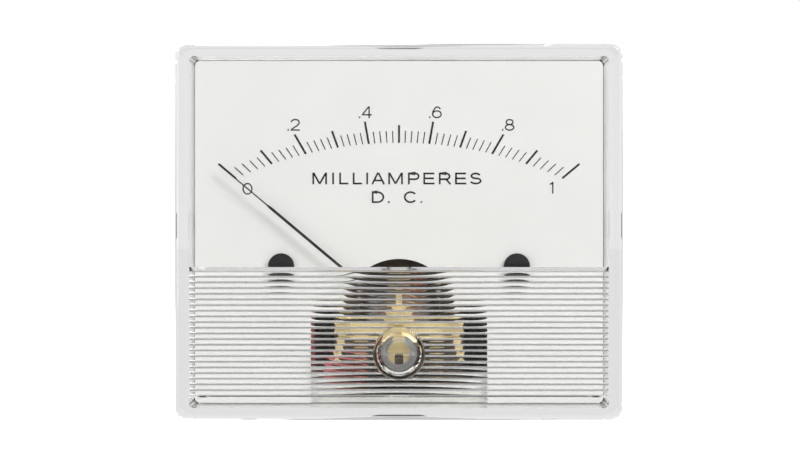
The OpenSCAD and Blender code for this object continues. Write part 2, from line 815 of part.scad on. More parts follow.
module zero_lever() {
    root_w = 3.2;
    neck_w = 2.2;
    fork_rim = 1.45;
    fork_w = 2 * (pin_r + fork_gap + fork_rim);
    slot_in = fork_r - pin_throw * (1 - cos(adjuster_half)) - pin_r - 0.6;
    slot_out = fork_r + pin_r + 0.4;
    palm = 1.2;
    color([0.82, 0.68, 0.36]) upright() at_pivot() {
        spring_finger(lever_z, spring_z - spring_w / 2, lever_z + lever_t);
        difference() {
            slab(lever_z, lever_z + lever_t) {
                polygon([
                    [-root_w / 2, -eye_r / 2], [-neck_w / 2, -slot_in],
                    [neck_w / 2, -slot_in], [root_w / 2, -eye_r / 2]
                ]);
                translate([-fork_w / 2, -slot_out]) square([fork_w, slot_out - slot_in + palm]);
            }
            slab(lever_z - eps, lever_z + lever_t + eps) translate([-pin_r - fork_gap, -slot_out - 1])
                square([2 * (pin_r + fork_gap), slot_out - slot_in + 1]);
            rod(jewel_r + run_gap, lever_z - eps, lever_z + lever_t + eps);
        }
    }
}

module rear_abutment() {
    color([0.82, 0.68, 0.36]) upright() at_pivot()
        spring_finger(rear_lever_z, rear_lever_z, rear_spring_z + spring_w / 2);
}

// Flat spiral from the collet out to the finger
module hairspring(z, hand) {
    turns = 4;
    steps = 24;
    strip = 0.1;
    weld = 0.04;
    r_in = collet_r + strip;
    r_out = tab_r - strip / 2 - weld;
    function at(i, side) =
        let (a = 90 - hand * 360 * turns * (1 - i / (turns * steps)),
             r = r_in + (r_out - r_in) * i / (turns * steps) + side * strip / 2)
        [r * cos(a), r * sin(a)];
    n = turns * steps;
    slab(z - spring_w / 2, z + spring_w / 2)
        polygon(concat([for (i = [0 : n]) at(i, 1)], [for (i = [n : -1 : 0]) at(i, -1)]));
}

module front_hairspring() {
    color([0.72, 0.5, 0.25]) upright() at_pivot() hairspring(spring_z, 1);
}

module rear_hairspring() {
    color([0.72, 0.5, 0.25]) upright() at_pivot() hairspring(rear_spring_z, -1);
}

// ---- moving coil and pointer, drawn at mid-scale and turned back to zero ----

module at_zero() { upright() at_pivot() rotate(scale_half) children(); }

// A rectangular ring round the core, w wide, with its sides out at r0 to r1
module coil_ring(r0, r1, w) {
    grow = r1 - coil_in;
    inset = r0 - coil_in;
    rotate([90, 0, 0]) translate([0, (core_front + core_back) / 2, -w / 2]) linear_extrude(w) difference() {
        square([2 * r1, core_front - core_back + 2 * (crossing_gap + grow)], center = true);
        square([2 * r0, core_front - core_back + 2 * (crossing_gap + inset)], center = true);
    }
}

module coil_former() {
    color([0.8, 0.8, 0.8]) at_zero() coil_ring(coil_in, coil_in + former_t, coil_w);
}

module coil_winding() {
    color([0.72, 0.36, 0.16]) at_zero() coil_ring(coil_in + former_t, coil_out, winding_w);
}

module pivot_staffs() {
    front_tip = front_cup_z + cup_depth - tip_gap;
    rear_tip = rear_cup_z - cup_depth + tip_gap;
    color([0.7, 0.7, 0.72]) at_zero() {
        rod(foot_r, coil_front, coil_front + foot_t);
        rod(staff_r, coil_front, front_tip - tip_len);
        cone_tip(staff_r, front_tip - tip_len, front_tip);
        rod(foot_r, coil_back - foot_t, coil_back);
        rod(staff_r, rear_tip + tip_len, coil_back);
        cone_tip(staff_r, rear_tip + tip_len, rear_tip);
    }
}

module spring_collets() {
    color([0.8, 0.66, 0.36]) at_zero() {
        for (z = [spring_z, rear_spring_z]) tube(collet_r, staff_r, z - collet_half, z + collet_half);
    }
}

module pointer() {
    hub_r = 1.3;
    hub_rise = 0.3;
    taper = 1;
    tip_r = pointer_tip_w / 2;
    color([0.05, 0.05, 0.05]) at_zero() difference() {
        union() {
            rod(hub_r, pointer_z - pointer_t / 2, pointer_z + pointer_t / 2 + hub_rise);
            slab(pointer_z - pointer_t / 2, pointer_z + pointer_t / 2) {
                polygon([
                    [-pointer_arm_w / 2, 0], [pointer_arm_w / 2, 0],
                    [pointer_arm_w / 2, pointer_arm_r - taper], [tip_r, pointer_arm_r],
                    [tip_r, pointer_r - tip_r], [-tip_r, pointer_r - tip_r],
                    [-tip_r, pointer_arm_r], [-pointer_arm_w / 2, pointer_arm_r - taper]
                ]);
                translate([0, pointer_r - tip_r]) circle(tip_r);
            }
        }
        rod(staff_r, pointer_z - 1, pointer_z + 1);
    }
}

// Cross with a tail and two side arms, to carry the balance weights
module balance_arms() {
    color([0.75, 0.62, 0.36]) at_zero() difference() {
        union() {
            rod(hub_r, balance_z - hub_drop, pointer_z - pointer_t / 2);
            for (a = [90, 180, 270]) rotate(a) translate([0, 0, balance_z])
                rotate([-90, 0, 0]) cylinder(r = arm_wire_r, h = a == 180 ? arm_r : side_arm_r);
        }
        rod(staff_r, balance_z - 1, pointer_z + 1);
    }
}

// A wire coil slid over one arm of the cross, ending at a distance end from the pivot
module balance_weight(a, r, len, end) {
    rotate(a) translate([0, 0, balance_z]) rotate([-90, 0, 0]) tube(r, arm_wire_r, end - len, end);
}

module balance_weights() {
    color([0.7, 0.7, 0.68]) at_zero() {
        balance_weight(180, tail_weight_r, tail_weight_len, arm_r - tail_weight_gap);
        for (a = [90, 270]) balance_weight(a, side_weight_r, side_weight_len, side_arm_r - side_weight_gap);
    }
}

module at_stops() {
    upright() at_pivot() for (s = [-1, 1]) rotate(s * stop_angle) translate([0, stop_r, 0]) children();
}

module pointer_stops() {
    color([0.6, 0.6, 0.6]) at_stops() rod(post_wire_r, yoke_front - stop_root, pointer_z + sleeve_half + 0.1);
}

module stop_sleeves() {
    color([0.55, 0.45, 0.3]) at_stops()
        tube(sleeve_r, post_wire_r, pointer_z - sleeve_half, pointer_z + sleeve_half);
}

// ---- zero adjuster ----

module zero_adjuster() {
    head_t = 1.3;
    head_dome = 0.45;
    head_z = dish_floor + run_gap;
    slot_w = 0.5;
    slot_depth = 0.7;
    dome_r = (pow(head_r, 2) + pow(head_dome, 2)) / (2 * head_dome);
    color([0.93, 0.95, 0.95, 0.5]) upright() at_adjuster() difference() {
        union() {
            intersection() {
                rod(head_r, head_z, head_z + head_t);
                translate([0, 0, head_z + head_t - dome_r]) sphere(dome_r, $fn = 160);
            }
            rod(stem_r, clip_z + clip_t + run_gap, head_z + eps);
            rod(groove_r, clip_z - run_gap, clip_z + clip_t + run_gap + eps);
            rod(stem_r, stem_back, clip_z);
            translate([0, -pin_throw, 0]) rod(pin_r, pin_back, stem_back + eps);
        }
        slab(head_z + head_t - slot_depth, head_z + head_t + eps)
            square([2 * head_r + 1, slot_w], center = true);
    }
}

// Spring clip in the stem's groove, behind the window
module adjuster_clip() {
    rim = 1.1;
    mouth = 2.4;
    color([0.6, 0.6, 0.6]) upright() at_adjuster() difference() {
        tube(stem_r + rim, groove_r, clip_z, clip_z + clip_t);
        slab(clip_z - eps, clip_z + clip_t + eps) translate([-mouth / 2, 0]) square([mouth, stem_r + 2 * rim]);
    }
}

// ---- leads ----

// Smooth curve through a list of points
function curve(p, steps) = [
    for (i = [0 : len(p) - 2], k = [0 : steps - 1])
        let (a = p[max(i - 1, 0)], b = p[i], c = p[i + 1], d = p[min(i + 2, len(p) - 1)], t = k / steps)
        0.5 * (2 * b + (c - a) * t + (2 * a - 5 * b + 4 * c - d) * t * t
               + (3 * b - a - 3 * c + d) * t * t * t),
    p[len(p) - 1]
];

function unit(v) = v / norm(v);

// A closed tube along a list of points, with its ends square to the path
module wire(p, r, sides = 8) {
    n = len(p);
    dir = [for (i = [0 : n - 1]) unit(p[min(i + 1, n - 1)] - p[max(i - 1, 0)])];
    ref = [0.31, 0.17, 0.94];
    ring = [
        for (i = [0 : n - 1])
            let (u = unit(cross(dir[i], ref)), v = cross(dir[i], u))
            for (k = [0 : sides - 1]) p[i] + r * (cos(360 * k / sides) * u + sin(360 * k / sides) * v)
    ];
    polyhedron(ring, concat(
        [for (i = [0 : n - 2], k = [0 : sides - 1])
            [i * sides + k, (i + 1) * sides + (k + 1) % sides, i * sides + (k + 1) % sides]],
        [for (i = [0 : n - 2], k = [0 : sides - 1])
            [i * sides + k, (i + 1) * sides + k, (i + 1) * sides + (k + 1) % sides]],
        [for (k = [1 : sides - 2]) [0, k, k + 1]],
        [for (k = [1 : sides - 2]) [(n - 1) * sides, (n - 1) * sides + k + 1, (n - 1) * sides + k]]
    ));
}

// Each lead runs from its solder lug to the movement
module positive_lead() {
    lug_x = -terminal_dx / 2 + lug_reach;
    side_x = -yoke_w / 2 - lead_bow;
    low_y = pivot_y - yoke_h / 2 + lead_rise;
    tag_x = -post_x - tag_len * sin(tag_turn);
    tag_y = pivot_y - bridge_drop - tag_len * cos(tag_turn);
    tag_z = bridge_z + bridge_t - lead_r;
    color([0.7, 0.12, 0.1]) upright() wire(curve([
        [lug_x, 0, barrel_floor + lug_t + lead_r],
        [lug_x, -lead_r, barrel_floor + lug_t + lead_bow],
        [-yoke_w / 2 + lead_rise, pivot_y + yoke_h / 2 + lead_bow, yoke_back],
        [side_x + lead_rise, pivot_y + yoke_h / 2, (yoke_back + yoke_front) / 2],
        [side_x, pivot_y + lead_rise, yoke_front - lead_rise],
        [side_x, pivot_y - yoke_h / 3, yoke_front],
        [side_x + lead_bow / 2, low_y, yoke_front + lead_rise],
        [-mount_x - lead_bow, low_y - lead_rise, yoke_front + lead_bow / 2],
        [-mount_x, low_y - lead_r, yoke_front + lead_bow],
        [-mount_x + lead_r, mount_y - lead_rise, tag_z - lead_bow],
        [-mount_x - lead_rise, mount_y - lead_rise, tag_z - lead_bow + lead_rise / 2],
        [tag_x - lead_rise, mount_y - lead_bow, tag_z - lead_rise - lead_r],
        [tag_x - lead_rise, tag_y - lead_rise, tag_z - lead_r],
        [tag_x, tag_y, tag_z]
    ], 4), lead_r);
}

module negative_lead() {
    lug_x = terminal_dx / 2 - lug_reach;
    color([0.08, 0.08, 0.08]) upright() wire(curve([
        [lug_x, 0, barrel_floor + lug_t + lead_r],
        [lug_x, -lead_rise, barrel_floor + lead_bow],
        [lug_x + lead_rise, pivot_y + yoke_h / 2, barrel_floor + lead_bow],
        [post_x, pivot_y + yoke_h / 4, rear_bridge_z + bridge_t],
        [post_x, pivot_y - bridge_drop + post_r + lead_r, rear_bridge_z + bridge_t + lead_rise]
    ], 4), lead_r);
}

front_cover();
base();
shield_plate();
plate_screws();
mounting_studs();
terminal_studs();
solder_lugs();
terminal_washers();
terminal_lockwashers();
terminal_nuts();
dial();
scale_marks();
dial_spacers();
dial_screws();
yoke();
core_magnet();
core_keys();
movement_screws();
front_posts();
front_bridge();
bridge_tags();
front_bridge_screws();
front_jewel_screw();
front_locknut();
rear_posts();
rear_bridge();
rear_bridge_screws();
rear_jewel_screw();
rear_locknut();
rear_abutment();
rear_hairspring();
front_hairspring();
zero_lever();
coil_former();
coil_winding();
pivot_staffs();
spring_collets();
pointer();
balance_arms();
balance_weights();
pointer_stops();
stop_sleeves();
zero_adjuster();
adjuster_clip();
positive_lead();
negative_lead();
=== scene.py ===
"""A moving-coil panel meter with a clear, fluted cover.

The finishes, the print on the dial, the clear mouldings, the floor, the light and the camera.
Sizes are in mm, and are turned into metres where a mesh is made.
"""

import json
import math

import bpy
import bmesh
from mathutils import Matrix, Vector


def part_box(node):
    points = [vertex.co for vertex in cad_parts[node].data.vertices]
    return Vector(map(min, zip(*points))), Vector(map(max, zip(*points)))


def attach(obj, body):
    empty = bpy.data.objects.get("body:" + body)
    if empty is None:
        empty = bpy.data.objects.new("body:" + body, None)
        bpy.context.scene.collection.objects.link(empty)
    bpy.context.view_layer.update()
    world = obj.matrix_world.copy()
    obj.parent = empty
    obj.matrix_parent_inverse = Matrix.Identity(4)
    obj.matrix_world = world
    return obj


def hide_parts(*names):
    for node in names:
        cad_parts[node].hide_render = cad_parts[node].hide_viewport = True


MM = 0.001

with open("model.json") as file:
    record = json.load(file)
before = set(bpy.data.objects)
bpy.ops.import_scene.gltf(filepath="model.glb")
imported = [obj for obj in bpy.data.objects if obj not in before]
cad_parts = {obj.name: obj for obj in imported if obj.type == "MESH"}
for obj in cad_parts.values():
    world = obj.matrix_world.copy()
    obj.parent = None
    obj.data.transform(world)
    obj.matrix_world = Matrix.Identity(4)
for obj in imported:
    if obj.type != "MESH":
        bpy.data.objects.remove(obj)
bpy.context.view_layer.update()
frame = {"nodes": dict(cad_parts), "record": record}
nodes = frame["nodes"]


# ---------------------------------------------------------------- node trees

class Tree:
    """A material's node tree, with short calls for the nodes that the finishes below share."""

    def __init__(self, name):
        self.material = bpy.data.materials.new(name)
        self.material.use_nodes = True
        self.tree = self.material.node_tree
        self.tree.nodes.clear()
        self.output = self.add("ShaderNodeOutputMaterial")
        self.place = self.add("ShaderNodeTexCoord").outputs["Object"]

    def add(self, kind, **inputs):
        """A new node, with its inputs set by name; an underscore stands for a space."""
        node = self.tree.nodes.new(kind)
        for name, value in inputs.items():
            self.set(node.inputs[name.replace("_", " ")], value)
        return node

    def set(self, socket, value):
        if isinstance(value, bpy.types.NodeSocket):
            self.tree.links.new(value, socket)
        else:
            socket.default_value = value

    def noise(self, size, detail=4.0, stretch=(1, 1, 1)):
        """Noise from 0 to 1 whose features are about size millimetres across."""
        mapping = self.add("ShaderNodeMapping", Vector=self.place)
        mapping.inputs["Scale"].default_value = stretch
        node = self.add("ShaderNodeTexNoise", Vector=mapping.outputs[0],
                        Scale=1 / (size * MM), Detail=detail, Roughness=0.55)
        return node.outputs["Fac"]

    def ramp(self, value, low, high, to_low=0.0, to_high=1.0):
        node = self.add("ShaderNodeMapRange", Value=value)
        limits = ("From Min", "From Max", "To Min", "To Max")
        for name, limit in zip(limits, (low, high, to_low, to_high)):
            node.inputs[name].default_value = limit
        return node.outputs[0]

    def mix(self, factor, first, second):
        node = self.add("ShaderNodeMix")
        node.data_type = "RGBA"
        self.set(node.inputs[0], factor)
        self.set(node.inputs[6], first)
        self.set(node.inputs[7], second)
        return node.outputs[2]

    def math(self, operation, first, second=0.0):
        node = self.add("ShaderNodeMath")
        node.operation = operation
        self.set(node.inputs[0], first)
        self.set(node.inputs[1], second)
        return node.outputs[0]

    def bump(self, height, depth):
        """A normal whose relief is depth millimetres deep."""
        return self.add("ShaderNodeBump", Height=height, Distance=depth * MM, Strength=1.0).outputs[0]

    def surface(self, **inputs):
        shader = self.add("ShaderNodeBsdfPrincipled", **inputs)
        self.tree.links.new(shader.outputs[0], self.output.inputs["Surface"])
        return shader


def rgb(red, green, blue):
    return (red, green, blue, 1.0)


def solid_finish(name, colour, second, roughness, metallic=0.0, blotch=6.0, grain=0.3, depth=0.004,
                 stretch=(1, 1, 1), specular=0.5, coat=0.0):
    """A finish with blotches of a second colour and a fine grain that shows in its gloss and relief."""
    t = Tree(name)
    fine = t.noise(grain, 3.0, stretch)
    blotches = t.ramp(t.noise(blotch), 0.35, 0.65)
    colours = t.mix(blotches, rgb(*colour), rgb(*second))
    gloss = t.ramp(fine, 0.3, 0.7, roughness * 0.8, min(1.0, roughness * 1.25))
    t.surface(Base_Color=colours, Roughness=gloss, Metallic=metallic, Normal=t.bump(fine, depth),
              Specular_IOR_Level=specular, Coat_Weight=coat)
    return t.material


def clear_finish(name, tint, ior=1.49):
    """Clear moulded plastic. Lamps and the sky reach through it, so that what lies behind it is lit."""
    t = Tree(name)
    smear = t.ramp(t.noise(9.0, 5.0), 0.45, 0.8, 0.0, 0.02)
    glass = t.add("ShaderNodeBsdfPrincipled", Base_Color=rgb(*tint), Roughness=smear, IOR=ior,
                  Transmission_Weight=1.0)
    clear = t.add("ShaderNodeBsdfTransparent", Color=rgb(0.97, 0.97, 0.96))
    path = t.add("ShaderNodeLightPath")
    free = t.math("MAXIMUM", path.outputs["Is Shadow Ray"], path.outputs["Is Diffuse Ray"])
    both = t.add("ShaderNodeMixShader", Fac=free)
    t.tree.links.new(glass.outputs[0], both.inputs[1])
    t.tree.links.new(clear.outputs[0], both.inputs[2])
    t.tree.links.new(both.outputs[0], t.output.inputs["Surface"])
    return t.material


BRASS = (0.78, 0.58, 0.27)
BRASS_DARK = (0.55, 0.38, 0.16)

finishes = {
    "clear_cover": clear_finish("clear_cover", (0.995, 0.997, 0.995)),
    "clear_knob": clear_finish("clear_knob", (0.99, 0.994, 0.992)),
    "black_phenolic": solid_finish("black_phenolic", (0.022, 0.019, 0.017), (0.032, 0.027, 0.023), 0.42,
                                   blotch=2.5, grain=0.35, depth=0.01),
    "plated_steel": solid_finish("plated_steel", (0.88, 0.88, 0.85), (0.8, 0.8, 0.76), 0.42, 0.85),
    "terminal_brass": solid_finish("terminal_brass", BRASS, BRASS_DARK, 0.3, 1.0, blotch=3.0),
    "tinned_copper": solid_finish("tinned_copper", (0.72, 0.71, 0.68), (0.6, 0.58, 0.54), 0.36, 1.0),
    "spring_steel": solid_finish("spring_steel", (0.56, 0.56, 0.56), (0.44, 0.43, 0.42), 0.33, 1.0),
    "dial_enamel": solid_finish("dial_enamel", (0.84, 0.84, 0.835), (0.82, 0.82, 0.815), 0.45,
                                blotch=14.0, grain=0.25, depth=0.002),
    "black_ink": solid_finish("black_ink", (0.015, 0.015, 0.016), (0.022, 0.022, 0.023), 0.5, grain=0.1),
    "black_screw": solid_finish("black_screw", (0.012, 0.012, 0.012), (0.02, 0.02, 0.02), 0.4),
    "soft_iron": solid_finish("soft_iron", (0.075, 0.06, 0.05), (0.11, 0.085, 0.065), 0.5, 0.6, blotch=1.5),
    "magnet_alloy": solid_finish("magnet_alloy", (0.3, 0.29, 0.28), (0.22, 0.2, 0.19), 0.45, 1.0, blotch=1.2),
    "movement_brass": solid_finish("movement_brass", (0.95, 0.79, 0.46), (0.88, 0.7, 0.37), 0.34, 0.75,
                                   blotch=2.0, grain=0.15),
    "spring_bronze": solid_finish("spring_bronze", (0.72, 0.45, 0.2), (0.6, 0.36, 0.15), 0.25, 1.0,
                                  blotch=1.0),
    "former_aluminium": solid_finish("former_aluminium", (0.8, 0.8, 0.8), (0.72, 0.72, 0.72), 0.32, 1.0),
    "enamelled_wire": solid_finish("enamelled_wire", (0.42, 0.12, 0.035), (0.3, 0.08, 0.025), 0.25,
                                   blotch=0.8, grain=0.08, depth=0.02, coat=0.6),
    "pivot_steel": solid_finish("pivot_steel", (0.66, 0.66, 0.67), (0.6, 0.6, 0.61), 0.14, 1.0),
    "pointer_black": solid_finish("pointer_black", (0.01, 0.01, 0.01), (0.016, 0.016, 0.016), 0.45),
    "stop_sleeve": solid_finish("stop_sleeve", (0.3, 0.2, 0.11), (0.24, 0.15, 0.08), 0.55),
    "red_insulation": solid_finish("red_insulation", (0.62, 0.16, 0.17), (0.52, 0.12, 0.13), 0.38),
    "black_insulation": solid_finish("black_insulation", (0.018, 0.018, 0.018), (0.025, 0.025, 0.025), 0.4),
}

for part in frame["record"]["subparts"]:
    node = nodes[part["node"]]
    for place in node.material_slots:
        place.material = finishes[part["material_slot"]]


# ---------------------------------------------------------------- print on the dial

def centre(node):
    low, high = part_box(node)
    return (low + high) / 2


def arc(x, y, width, height, start, end, steps=14):
    """Points along an ellipse's arc, with angles in degrees."""
    turns = [math.radians(start + (end - start) * k / steps) for k in range(steps + 1)]
    return [(x + width * math.cos(a), y + height * math.sin(a)) for a in turns]


# Each sign is its width and its strokes, in tenths of the height of a capital letter
STEM = [(0.7, 0), (0.7, 10)]
BOWL = [(0.7, 9.3), (6.3, 9.3)] + arc(6.3, 6.85, 2.8, 2.45, 90, -90) + [(0.7, 4.4)]
SIGNS = {
    "M": (12.4, [STEM, [(0.9, 9.8), (6.2, 0.5)], [(11.5, 9.8), (6.2, 0.5)], [(11.7, 0), (11.7, 10)]]),
    "I": (1.4, [STEM]),
    "L": (7.8, [STEM, [(0.7, 0.7), (7.8, 0.7)]]),
    "A": (11.6, [[(0.7, 0), (5.6, 9.9)], [(10.9, 0), (6.0, 9.9)], [(2.3, 3.3), (9.3, 3.3)]]),
    "P": (9.8, [STEM, BOWL]),
    "E": (9.5, [STEM, [(0.7, 0.7), (9.5, 0.7)], [(0.7, 5.1), (9.0, 5.1)], [(0.7, 9.3), (9.3, 9.3)]]),
    "R": (10.7, [STEM, BOWL, [(6.0, 4.5), (9.9, 0)]]),
    "S": (10.2, [arc(5.1, 7.2, 3.7, 2.1, 18, 255) + arc(5.1, 2.95, 4.3, 2.25, 72, -165)]),
    "D": (10.6, [STEM, [(0.7, 9.3), (4.6, 9.3)] + arc(4.6, 5, 5.3, 4.3, 90, -90, 22) + [(0.7, 0.7)]]),
    "C": (11.2, [arc(5.8, 5, 5.0, 4.3, 38, 322, 28)]),
    ".": (1.5, [[(0.75, 0), (0.75, 1.5)]]),
    "0": (8.6, [arc(4.3, 5, 3.75, 4.45, 0, 360, 32)]),
    "1": (3.4, [[(2.8, 0), (2.8, 10)], [(0.2, 8.0), (1.7, 8.5), (2.7, 9.6)]]),
    "2": (8.2, [arc(4.2, 7.0, 3.4, 2.5, 175, -25) + [(6.0, 4.4), (1.3, 1.3), (0.8, 0.6)],
                [(0.4, 0.55), (8.2, 0.55)]]),
    "4": (8.6, [[(6.1, 9.8), (0.8, 3.2)], [(0.3, 2.9), (8.6, 2.9)], [(6.4, 0), (6.4, 10)]]),
    "6": (8.4, [arc(4.3, 3.35, 3.6, 2.85, 0, 360, 26),
                [(7.4, 8.3)] + arc(4.6, 7.2, 2.4, 2.3, 25, 130, 8) + arc(4.6, 3.4, 3.9, 5.3, 130, 180, 8)]),
    "8": (8.2, [arc(4.1, 7.3, 2.9, 2.15, 0, 360, 24), arc(4.1, 2.85, 3.55, 2.35, 0, 360, 24)]),
    " ": (6.0, []),
}
# The bare space before and after each sign, in the same tenths
STROKE_ENDS = {
    "M": (2.3, 2.3), "I": (2.3, 2.3), "L": (2.3, 1.5), "A": (0.6, 0.6), "P": (2.2, 1.2), "E": (2.2, 1.6),
    "R": (2.2, 1.0), "S": (1.4, 1.4), "D": (2.2, 1.6), "C": (1.5, 1.5), ".": (1.6, 2.2),
}


def ribbon(mesh, points, width, place):
    """Adds a flat stroke along points, with mitred bends and square ends."""
    closed = (Vector(points[0]) - Vector(points[-1])).length < 1e-6
    path = [Vector(q) for q in (points[:-1] if closed else points)]
    count = len(path)
    sides = []
    for k, q in enumerate(path):
        before = (q - path[k - 1]).normalized() if closed or k else None
        after = (path[(k + 1) % count] - q).normalized() if closed or k < count - 1 else None
        along = ((before or after) + (after or before)).normalized()
        across = Vector((-along.y, along.x))
        reach = width / 2 / max(0.5, along.dot(after or before))
        sides.append([mesh.verts.new(place(q + across * reach * s)) for s in (-1, 1)])
    for k in range(count if closed else count - 1):
        a, b = sides[k], sides[(k + 1) % count]
        mesh.faces.new((a[0], b[0], b[1], a[1]))


INK_LIFT = 0.03
INK_DEPTH = 0.02
dial_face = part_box("dial")[0].y
pivot = centre("front_jewel_screw")


def printed(name, words, x, z, height, stroke, tight=0.0):
    """Words in printed ink, with their middle x, z from the pivot.

    height is a capital's, and tight closes the signs up.
    """
    unit = height / 10
    left, marks = 0.0, []
    for sign in words:
        width, strokes = SIGNS[sign]
        before, after = STROKE_ENDS.get(sign, (1.2, 1.2))
        left += max(0.0, before - tight) if marks or left else 0.0
        marks += [(left, stroke_points) for stroke_points in strokes]
        last = left + width
        left = last + max(0.0, after - tight)
    mesh = bmesh.new()
    for offset, points in marks:
        ribbon(mesh, points, stroke / unit,
               lambda q: (pivot.x + (x + (q.x + offset - last / 2) * unit) * MM, dial_face - INK_LIFT * MM,
                          pivot.z + (z + (q.y - 5) * unit) * MM))
    piece = finish_mesh(name, mesh, "black_ink")
    solid = piece.modifiers.new("depth", "SOLIDIFY")
    solid.thickness = INK_DEPTH * MM
    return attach(piece, "meter")


def finish_mesh(name, mesh, slot):
    """A named piece from a bmesh, with the finish of a slot."""
    data = bpy.data.meshes.new(name)
    mesh.to_mesh(data)
    mesh.free()
    data.materials.append(finishes[slot])
    piece = bpy.data.objects.new(name, data)
    bpy.context.scene.collection.objects.link(piece)
    return piece


FINE, BOLD = 0.27, 0.36
CAPITAL, NUMERAL = 2.38, 2.4
for name, words, x, z in (
        ("print_0", "0", -30.9, 25.8), ("print_2", ".2", -21.5, 38.85), ("print_4", ".4", -6.9, 41.4),
        ("print_6", ".6", 7.4, 41.4), ("print_8", ".8", 22.25, 38.85), ("print_1", "1", 31.1, 26.0)):
    printed(name, words, x, z, NUMERAL, FINE, tight=1.2)
printed("print_units", "MILLIAMPERES", -0.4, 27.9, CAPITAL, BOLD)
printed("print_dc", "D. C.", -0.4, 24.1, CAPITAL, BOLD)


# ---------------------------------------------------------------- clear mouldings

def round_rect(width, height, radius, depth, steps=10):
    """A ring of points: a rectangle with round corners, depth mm in front of the panel."""
    ring = []
    for quarter, (right, up) in enumerate(((1, 1), (-1, 1), (-1, -1), (1, -1))):
        for k in range(steps + 1):
            a = math.radians(90 * (quarter + k / steps))
            ring.append((right * (width / 2 - radius) + radius * math.cos(a), depth,
                         up * (height / 2 - radius) + radius * math.sin(a)))
    return ring


def circle(radius, depth, x, z, steps=128):
    turns = [2 * math.pi * k / steps for k in range(steps)]
    return [(x + radius * math.cos(a), depth, z + radius * math.sin(a)) for a in turns]


def loft(rings):
    """A closed solid through rings of points, each (x, depth, z) in mm."""
    mesh = bmesh.new()
    loops = [[mesh.verts.new((x * MM, -depth * MM, z * MM)) for x, depth, z in ring] for ring in rings]
    count = len(loops[0])
    for a, b in zip(loops, loops[1:]):
        for k in range(count):
            mesh.faces.new((a[k], a[(k + 1) % count], b[(k + 1) % count], b[k]))
    mesh.faces.new(loops[0])
    mesh.faces.new(loops[-1])
    bmesh.ops.recalc_face_normals(mesh, faces=mesh.faces)
    return mesh


def lathe(profile, x, z, steps=128):
    return loft([circle(radius, depth, x, z, steps) for radius, depth in profile])


def block(x0, x1, d0, d1, z0, z1):
    return loft([[(x, d, z) for x, z in ((x0, z0), (x1, z0), (x1, z1), (x0, z1))] for d in (d0, d1)])


def combine(name, slot, body, *steps):
    """Cuts or joins solids one after another, and shades the result smooth up to its edges."""
    piece = finish_mesh(name, body, slot)
    tools = []
    for k, (operation, mesh) in enumerate(steps):
        data = bpy.data.meshes.new(f"{name}_{k}")
        mesh.to_mesh(data)
        mesh.free()
        tool = bpy.data.objects.new(f"{name}_{k}", data)
        bpy.context.scene.collection.objects.link(tool)
        tools.append(tool)
        step = piece.modifiers.new("step", "BOOLEAN")
        step.operation, step.object, step.solver = operation, tool, "EXACT"
    bpy.context.view_layer.update()
    done = bpy.data.meshes.new_from_object(piece.evaluated_get(bpy.context.evaluated_depsgraph_get()))
    piece.modifiers.clear()
    piece.data = done
    done.name = name
    for tool in tools:
        bpy.data.objects.remove(tool)
    done.polygons.foreach_set("use_smooth", [True] * len(done.polygons))
    done.set_sharp_from_angle(angle=math.radians(32))
    weigh = piece.modifiers.new("flats", "WEIGHTED_NORMAL")
    weigh.keep_sharp = True
    return piece


def arc_points(count, start, end):
    return [math.radians(start + (end - start) * k / count) for k in range(count + 1)]


# The cover's walls, its round edges, and the flutes on the window's inner face
SIDE_WALL, TOP_WALL, WINDOW = 2.65, 2.3, 2.0
CORNER, EDGE, INNER_CORNER = 2.4, 0.8, 1.0
PITCH, RISE, STEP = 1.13, 0.45, 0.35
FLUTES, FLUTE_TOP = 22, -7.0
# The pockets for the case's snap teeth
SNAP_LIFT, SNAP_H, SNAP_REACH, SNAP_LOW, SNAP_HIGH = 1.3, 5.5, 1.025, 0.7, 2.3
# The collar round the adjuster, with its dish and bore
COLLAR, COLLAR_LIFT, COLLAR_FOOT = 5.2, 0.3, 0.1
DISH, DISH_FLOOR_R, DISH_DEPTH, BORE, BOSS = 4.25, 3.7, 0.9, 2.55, 1.0
# The adjuster: its head, stem and eccentric pin, and the play between it and the cover
KNOB, KNOB_T, DOME, PLAY = 3.3, 1.3, 0.45, 0.05
STEM_R, STEM_TAIL, GROOVE_R, PIN, THROW = 2.5, 0.3, 2.1, 0.6, 1.5
SLOT, SLOT_DEPTH = 0.5, 0.7
# How far a cutting or joined solid reaches past the face it meets
OVERLAP = 0.5

cover_low, cover_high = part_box("front_cover")
width, height = (cover_high.x - cover_low.x) / MM, (cover_high.z - cover_low.z) / MM
face = -cover_low.y / MM - COLLAR_LIFT
window = face - WINDOW
knob_x, knob_z = 0.0, centre("zero_adjuster").z / MM

shell = [round_rect(width, height, CORNER, 0), round_rect(width, height, CORNER, face - EDGE)]
for a in arc_points(8, 0, 90)[1:]:
    inset = EDGE * (1 - math.cos(a))
    depth = face - EDGE + EDGE * math.sin(a)
    shell.append(round_rect(width - 2 * inset, height - 2 * inset, CORNER - inset, depth))
inner_w, inner_h = width - 2 * SIDE_WALL, height - 2 * TOP_WALL
inside = [round_rect(inner_w, inner_h, INNER_CORNER, depth) for depth in (-1, window)]

